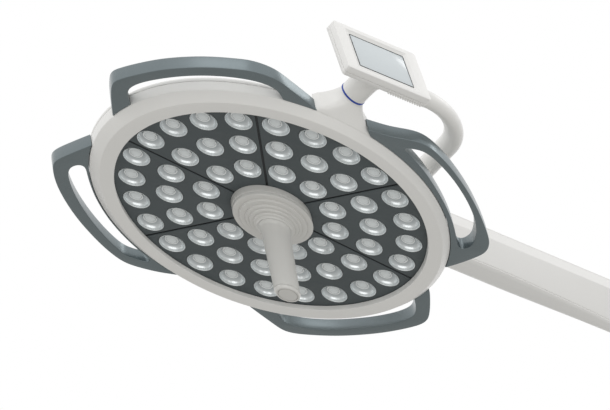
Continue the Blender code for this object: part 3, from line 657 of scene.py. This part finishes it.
# bezel: outer shell, chamfered inwards to the glass
bm = bmesh.new()
GW0, GW1, GU0, GU1 = -0.048, 0.054, -0.0255, 0.0375
loops = []
for rho, grow, r, inner in (
        (0.4418, 0.0003, 0.004, False), (0.4421, 0.0, 0.004, False), (0.4568, 0.0, 0.004, False), (0.4576, 0.0003, 0.004, False),
        (0.4580, 0.0011, 0.004, False), (0.4580, 0.0072, 0.002, True), (0.4576, 0.0068, 0.002, True),
        (0.4545, 0.0, 0.0006, True), (0.4418, 0.0, 0.0006, True)):
    if inner:
        pts = rect(GW0 - grow, GW1 + grow, GU0 - grow, GU1 + grow, r)
    else:
        pts = rect(PW0 + grow, PW1 - grow, PU0 + grow, PU1 - grow, r)
    loops.append([bm.verts.new((rho, w, u)) for w, u in pts])
n = len(loops[0])
for a, b in zip(loops, loops[1:] + loops[:1]):
    for i in range(n):
        j = (i + 1) % n
        bm.faces.new((a[i], a[j], b[j], b[i]))
place(finish_mesh("bezel", bm, RIM, "white_plastic", 25), "yoke", "white_plastic", "panel_bezel")

back = rect_loft("panel_back", (
    (0.4416, 0.0016, 0.003), (0.4407, 0.0016, 0.003), (0.4407, 0.0003, 0.004), (0.4404, 0.0, 0.004), (0.4320, 0.0, 0.004), (0.4308, 0.0010, 0.004),
    (0.4290, 0.0060, 0.006), (0.4240, 0.0150, 0.008), (0.4225, 0.0190, 0.008)), "white_plastic", 40)
place(back, "yoke", "white_plastic", "panel_back_cover")
bm = bmesh.new()
for i in range(14):
    w = 0.012 + 0.0046 * i
    bmesh.ops.create_cone(bm, cap_ends=True, segments=16, radius1=0.0013, radius2=0.0013, depth=0.0100,
                          matrix=Matrix.Translation((0.4350, w, PU0 + 0.0001)) @ Matrix.Rotation(math.radians(90), 4, "Y"))
place(finish_mesh("panel_ribs", bm, RIM, "white_plastic"), "yoke", "white_plastic")
place(block("display", (0.4530, GW0 + 0.0004, GU0 + 0.0004), (0.4550, GW1 - 0.0004, GU1 - 0.0004), 0.0003, RIM,
            "screen_glass", 2), "yoke", "screen_glass", "panel_glass")
# painted shadow: a thin dark strip round the glass stands in for the shadow gap at its edge
gk = outline_solid("display_shadow_line", [rect(GW0, GW1, GU0, GU1, 0.0006), rect(GW0 + 0.0007, GW1 - 0.0007, GU0 + 0.0007, GU1 - 0.0007, 0.0004)],
                   0.4546, 0.4556, 0.0001, RIM @ Matrix(((0, 0, 1, 0), (1, 0, 0, 0), (0, 1, 0, 0), (0, 0, 0, 1))), "dark_gasket", res=1)
place(gk, "yoke", "panel_grey")

# ------------------------------------------------------------------ front knuckle
place(lathe("front_shaft", fillet([
    (0, 0.2288), (0.0119, 0.2288, 0.001), (0.0119, 0.1882, 0.0005), (0.0232, 0.1882, 0.0012),
    (0.0232, 0.1753, 0.0012), (0, 0.1753)], n=4), 64, FRONT, "steel"), "yoke", "steel", "front_spindle")
place(lathe("knuckle_front", fillet([
    (0, 0.2902), (0.0330, 0.2900, 0.005), (0.0330, 0.1887, 0.0012), (0.0188, 0.1887, 0.0006),
    (0.0188, 0.2320), (0, 0.2320)], n=6), 96, FRONT, "white_paint"), "front_knuckle", "white_paint",
    "front_knuckle_housing")
place(block("front_tongue", (0.020, -0.0165, PIVOT_Z - 0.0185), (0.083, 0.0050, PIVOT_Z + 0.012), 0.002, FRONT,
            "white_paint"), "front_knuckle", "white_paint")
RY = Matrix(((1, 0, 0, 0), (0, 0, 1, 0), (0, -1, 0, 0), (0, 0, 0, 1)))
place(rod("pin_front", 0.0060, -0.0235, 0.0235, 0.0010, FRONT @ Matrix.Translation((FRONT_S, 0, PIVOT_Z)) @ RY, "steel"),
      "front_knuckle", "steel", "front_pivot_pin")

# ------------------------------------------------------------------ spring arm
STATIONS = ((0.115, 0.0780, 0.0270), (0.270, 0.0788, 0.0270), (0.380, 0.0788, 0.0268),
            (0.460, 0.0798, 0.0235), (0.550, 0.0815, 0.0190), (0.640, 0.0850, 0.0150),
            (0.770, 0.0890, 0.0140), (0.925, 0.0890, 0.0160))


def station(s):
    """Depth and keel half width, smooth along the arm."""
    for i in range(len(STATIONS) - 1):
        a, b = STATIONS[i], STATIONS[i + 1]
        if s <= b[0] or i == len(STATIONS) - 2:
            t = (s - a[0]) / (b[0] - a[0])
            out = []
            for c in (1, 2):
                p0 = STATIONS[max(i - 1, 0)][c]
                p3 = STATIONS[min(i + 2, len(STATIONS) - 1)][c]
                m0, m1 = (b[c] - p0) / 2, (p3 - a[c]) / 2
                out.append((2 * t ** 3 - 3 * t ** 2 + 1) * a[c] + (t ** 3 - 2 * t ** 2 + t) * m0
                           + (-2 * t ** 3 + 3 * t ** 2) * b[c] + (t ** 3 - t ** 2) * m1)
            return out


def arm_ring(s, wall=0.0, lip=0.0033):
    d, b = station(s)
    h, side = 0.0520 - wall, 0.0250 + wall * 0.3
    zt, zb = ARM_TOP - lip, ARM_TOP - d + wall
    b -= wall * 0.35
    r = 0.0022 if wall == 0 else 0.0012
    if wall:
        p = fillet([(-h, zt, 0), (-h, ARM_TOP - side, r), (-b, zb + 0.0015, r), (0, zb - 0.0004, 0.004),
                    (b, zb + 0.0015, r), (h, ARM_TOP - side, r), (h, zt, 0)], n=5)
    else:
        # a seam runs along both keel edges, where the belly strip starts
        vy, vz = h - b, ARM_TOP - side - zb
        k = math.hypot(vy, vz)
        vy, vz = vy / k, vz / k
        half = []
        for a, o in ((0.0036, 0.0), (0.0030, 0.0015), (0.0010, 0.0015), (0.0003, 0.0)):
            half.append((b + vy * a - vz * o, zb + 0.0012 + vz * a + vy * o, 0.0002))
        left = [(-y, z, q) for y, z, q in half]
        p = fillet([(-h, zt, 0), (-h, ARM_TOP - side, r)] + left
                   + [(-b * 0.72, zb - 0.0012, 0.006), (0, zb - 0.0024, 0.008), (b * 0.72, zb - 0.0012, 0.006)]
                   + half[::-1] + [(h, ARM_TOP - side, r), (h, zt, 0)], n=4)
    return [(s, y, z) for y, z in p]


rows = []
K = 40
for i in range(K + 1):
    s = 0.1152 + (0.9248 - 0.1152) * i / K
    rows.append(arm_ring(s) + arm_ring(s, 0.0022)[::-1])
assert len({len(r) for r in rows}) == 1
place(loft("arm_keel", rows, FRONT, "white_plastic", 25), "arm", "white_plastic", "arm_lower_cover")
place(outline_solid("arm_lid", [fillet([(0.1152, -0.0520, 0.004), (0.9248, -0.0520, 0.004), (0.9248, 0.0520, 0.004),
                                        (0.1152, 0.0520, 0.004)], n=5, closed=True)],
                    ARM_TOP - 0.0031, ARM_TOP, 0.0013, FRONT, "white_plastic"), "arm", "white_plastic", "arm_top_cover")
for tag, s0, ss in (("front", 0.1122, 0.1152), ("rear", 0.9253, 0.9248)):
    d, b = station(ss)
    sec = fillet([(-0.0520, ARM_TOP, 0.002), (-0.0520, ARM_TOP - 0.025, 0.003), (-b, ARM_TOP - d, 0.003),
                  (b, ARM_TOP - d, 0.003), (0.0520, ARM_TOP - 0.025, 0.003), (0.0520, ARM_TOP, 0.002)], n=5, closed=True)
    hole = fillet([(-0.0203, PIVOT_Z - 0.0223, 0.001), (0.0203, PIVOT_Z - 0.0223, 0.001),
                   (0.0203, PIVOT_Z + 0.0223, 0.001), (-0.0203, PIVOT_Z + 0.0223, 0.001)], n=3, closed=True)
    m = FRONT @ Matrix.Translation((s0, 0, 0)) @ Matrix(((0, 0, 1, 0), (1, 0, 0, 0), (0, 1, 0, 0), (0, 0, 0, 1)))
    place(outline_solid("arm_cap_" + tag, [sec, hole], 0.0, 0.0026, 0.0007, m, "white_plastic", res=2),
          "arm", "white_plastic", "arm_end_cap_" + tag)

# ------------------------------------------------------------------ rear knuckle and mount
place(lathe("knuckle_rear", fillet([
    (0.0190, 0.3250, 0.0006), (0.0400, 0.3250, 0.005), (0.0400, 0.2050, 0.001), (0.0150, 0.2050), (0.0150, 0.2500),
    (0.0190, 0.2500)], n=6, closed=True), 112, REAR, "white_paint"), "rear_knuckle", "white_paint", "rear_knuckle_housing")
place(block("rear_tongue", (REAR_S - AXIS_S - 0.013, -0.0165, PIVOT_Z - 0.0185), (-0.020, 0.0050, PIVOT_Z + 0.012),
            0.002, REAR, "white_paint"), "rear_knuckle", "white_paint")
place(rod("pin_rear", 0.0060, -0.0235, 0.0235, 0.0010,
          REAR @ Matrix.Translation((REAR_S - AXIS_S, 0, PIVOT_Z)) @ RY, "steel"), "rear_knuckle", "steel", "rear_pivot_pin")
place(lathe("knuckle_cap", fillet([
    (0, 0.2047), (0.0398, 0.2047, 0.0008), (0.0380, 0.1990, 0.004), (0.0240, 0.1962, 0.008), (0, 0.1960)], n=6),
    112, REAR, "white_plastic"), "rear_knuckle", "white_plastic", "rear_knuckle_cap")
place(lathe("mount_shaft", fillet([
    (0, 0.3747), (0.0262, 0.3747, 0.001), (0.0250, 0.3690, 0.003), (0.0250, 0.3310, 0.002), (0.0140, 0.3310, 0.0006),
    (0.0140, 0.2530, 0.001), (0, 0.2530)], n=4), 80, REAR, "steel"), "ceiling_mount", "steel", "mount_spindle")
bolt = [circle(*polar(0.044, 45 + 90 * i), 0.0045, 28) for i in range(4)]
place(outline_solid("flange", [circle(0, 0, 0.058, 128)] + bolt, 0.3750, FLANGE_Z, 0.0015, REAR, "white_paint"),
      "ceiling_mount", "white_paint", "mount_flange")

# ------------------------------------------------------------------ CAD nodes that stay
KEEP = {
    "heat_sink_plate": "alloy", "driver_board": "board_green", "rim_axle": "steel", "panel_circuit_board": "board_green",
    "front_spindle_bush": "bronze", "front_tie_pin": "steel", "arm_beam": "alloy", "spring_cartridge": "steel",
    "spring_rod": "steel", "tie_rod": "steel", "rear_tie_pin": "steel", "rear_bearing": "bronze",
}
for k in range(6):
    KEEP["led_board_%d" % (k + 1)] = "board_green"
for name, mat in KEEP.items():
    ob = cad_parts[name]
    if not ob.material_slots:
        ob.data.materials.append(M[mat])
    for s in ob.material_slots:
        s.material = M[mat]

# ------------------------------------------------------------------ floor, light, camera
bm = bmesh.new()
bmesh.ops.create_grid(bm, x_segments=1, y_segments=1, size=150.0)
me = bpy.data.meshes.new("floor")
bm.to_mesh(me)
bm.free()
floor = bpy.data.objects.new("floor", me)
bpy.context.scene.collection.objects.link(floor)
floor.location = (0, 0, -16.5)
fm = bpy.data.materials.new("floor_pale")
fm.use_nodes = True
fb = fm.node_tree.nodes["Principled BSDF"]
fb.inputs["Base Color"].default_value = (0.53, 0.525, 0.51, 1)
fb.inputs["Roughness"].default_value = 0.8
me.materials.append(fm)

world = bpy.data.worlds.new("studio")
bpy.context.scene.world = world
world.use_nodes = True
nt = world.node_tree
bg = nt.nodes["Background"]
bg.inputs["Color"].default_value = (1.0, 1.0, 1.0, 1)
bg.inputs["Strength"].default_value = 1.0
bpy.context.scene.view_settings.view_transform = "Standard"


def area(name, loc, target, size, power):
    li = bpy.data.lights.new(name, "AREA")
    li.shape = "RECTANGLE"
    li.size, li.size_y = size
    li.energy = power
    ob = bpy.data.objects.new(name, li)
    bpy.context.scene.collection.objects.link(ob)
    ob.location = Vector(loc) - MOUNT
    ob.rotation_mode = "QUATERNION"
    ob.rotation_quaternion = (Vector(target) - Vector(loc)).to_track_quat("-Z", "Y")
    ob.visible_camera = False
    return ob


area("key_light", (-1.2, -4.0, 3.0), (0, 0, 0), (2.2, 2.2), 15)
area("low_light", (0.2, -3.9, -1.5), (0, 0, 0), (6.0, 1.6), 40)
area("side_light", (3.9, 0.2, 3.0), (0.2, 0, 0), (1.2, 2.2), 18)

# The picture's axes stand 9.8 degrees out of square, so the camera sits under an
# empty that stretches its view along the diagonal.
R = ((0.99947977, -0.01682658, -0.0275147), (-0.01135138, 0.61500039, -0.78844509),
     (0.03018839, 0.78834725, 0.61448944))
SKEW = 0.17100741
right, up, backward = Vector(R[0]), -Vector(R[1]), -Vector(R[2])
eye = Vector((-0.09355621, -4.08733868, -3.16123336)) - MOUNT
rig = bpy.data.objects.new("camera_rig", None)
bpy.context.scene.collection.objects.link(rig)
rig.matrix_world = (Matrix.Translation(eye) @ Matrix((right, up, backward)).transposed().to_4x4()
                    @ Matrix.Rotation(math.radians(45), 4, "Z")
                    @ Matrix.Diagonal((math.cos(SKEW) + math.sin(SKEW), math.cos(SKEW) - math.sin(SKEW), 1, 1)))
cd = bpy.data.cameras.new("camera")
cd.lens = 2845.3 / 610 * 36
cd.sensor_width = 36
cd.clip_end = 200
cam = bpy.data.objects.new("camera", cd)
bpy.context.scene.collection.objects.link(cam)
cam.parent = rig
cam.matrix_parent_inverse = Matrix.Identity(4)
cam.rotation_euler = (0, 0, math.radians(-45))
bpy.context.scene.camera = cam
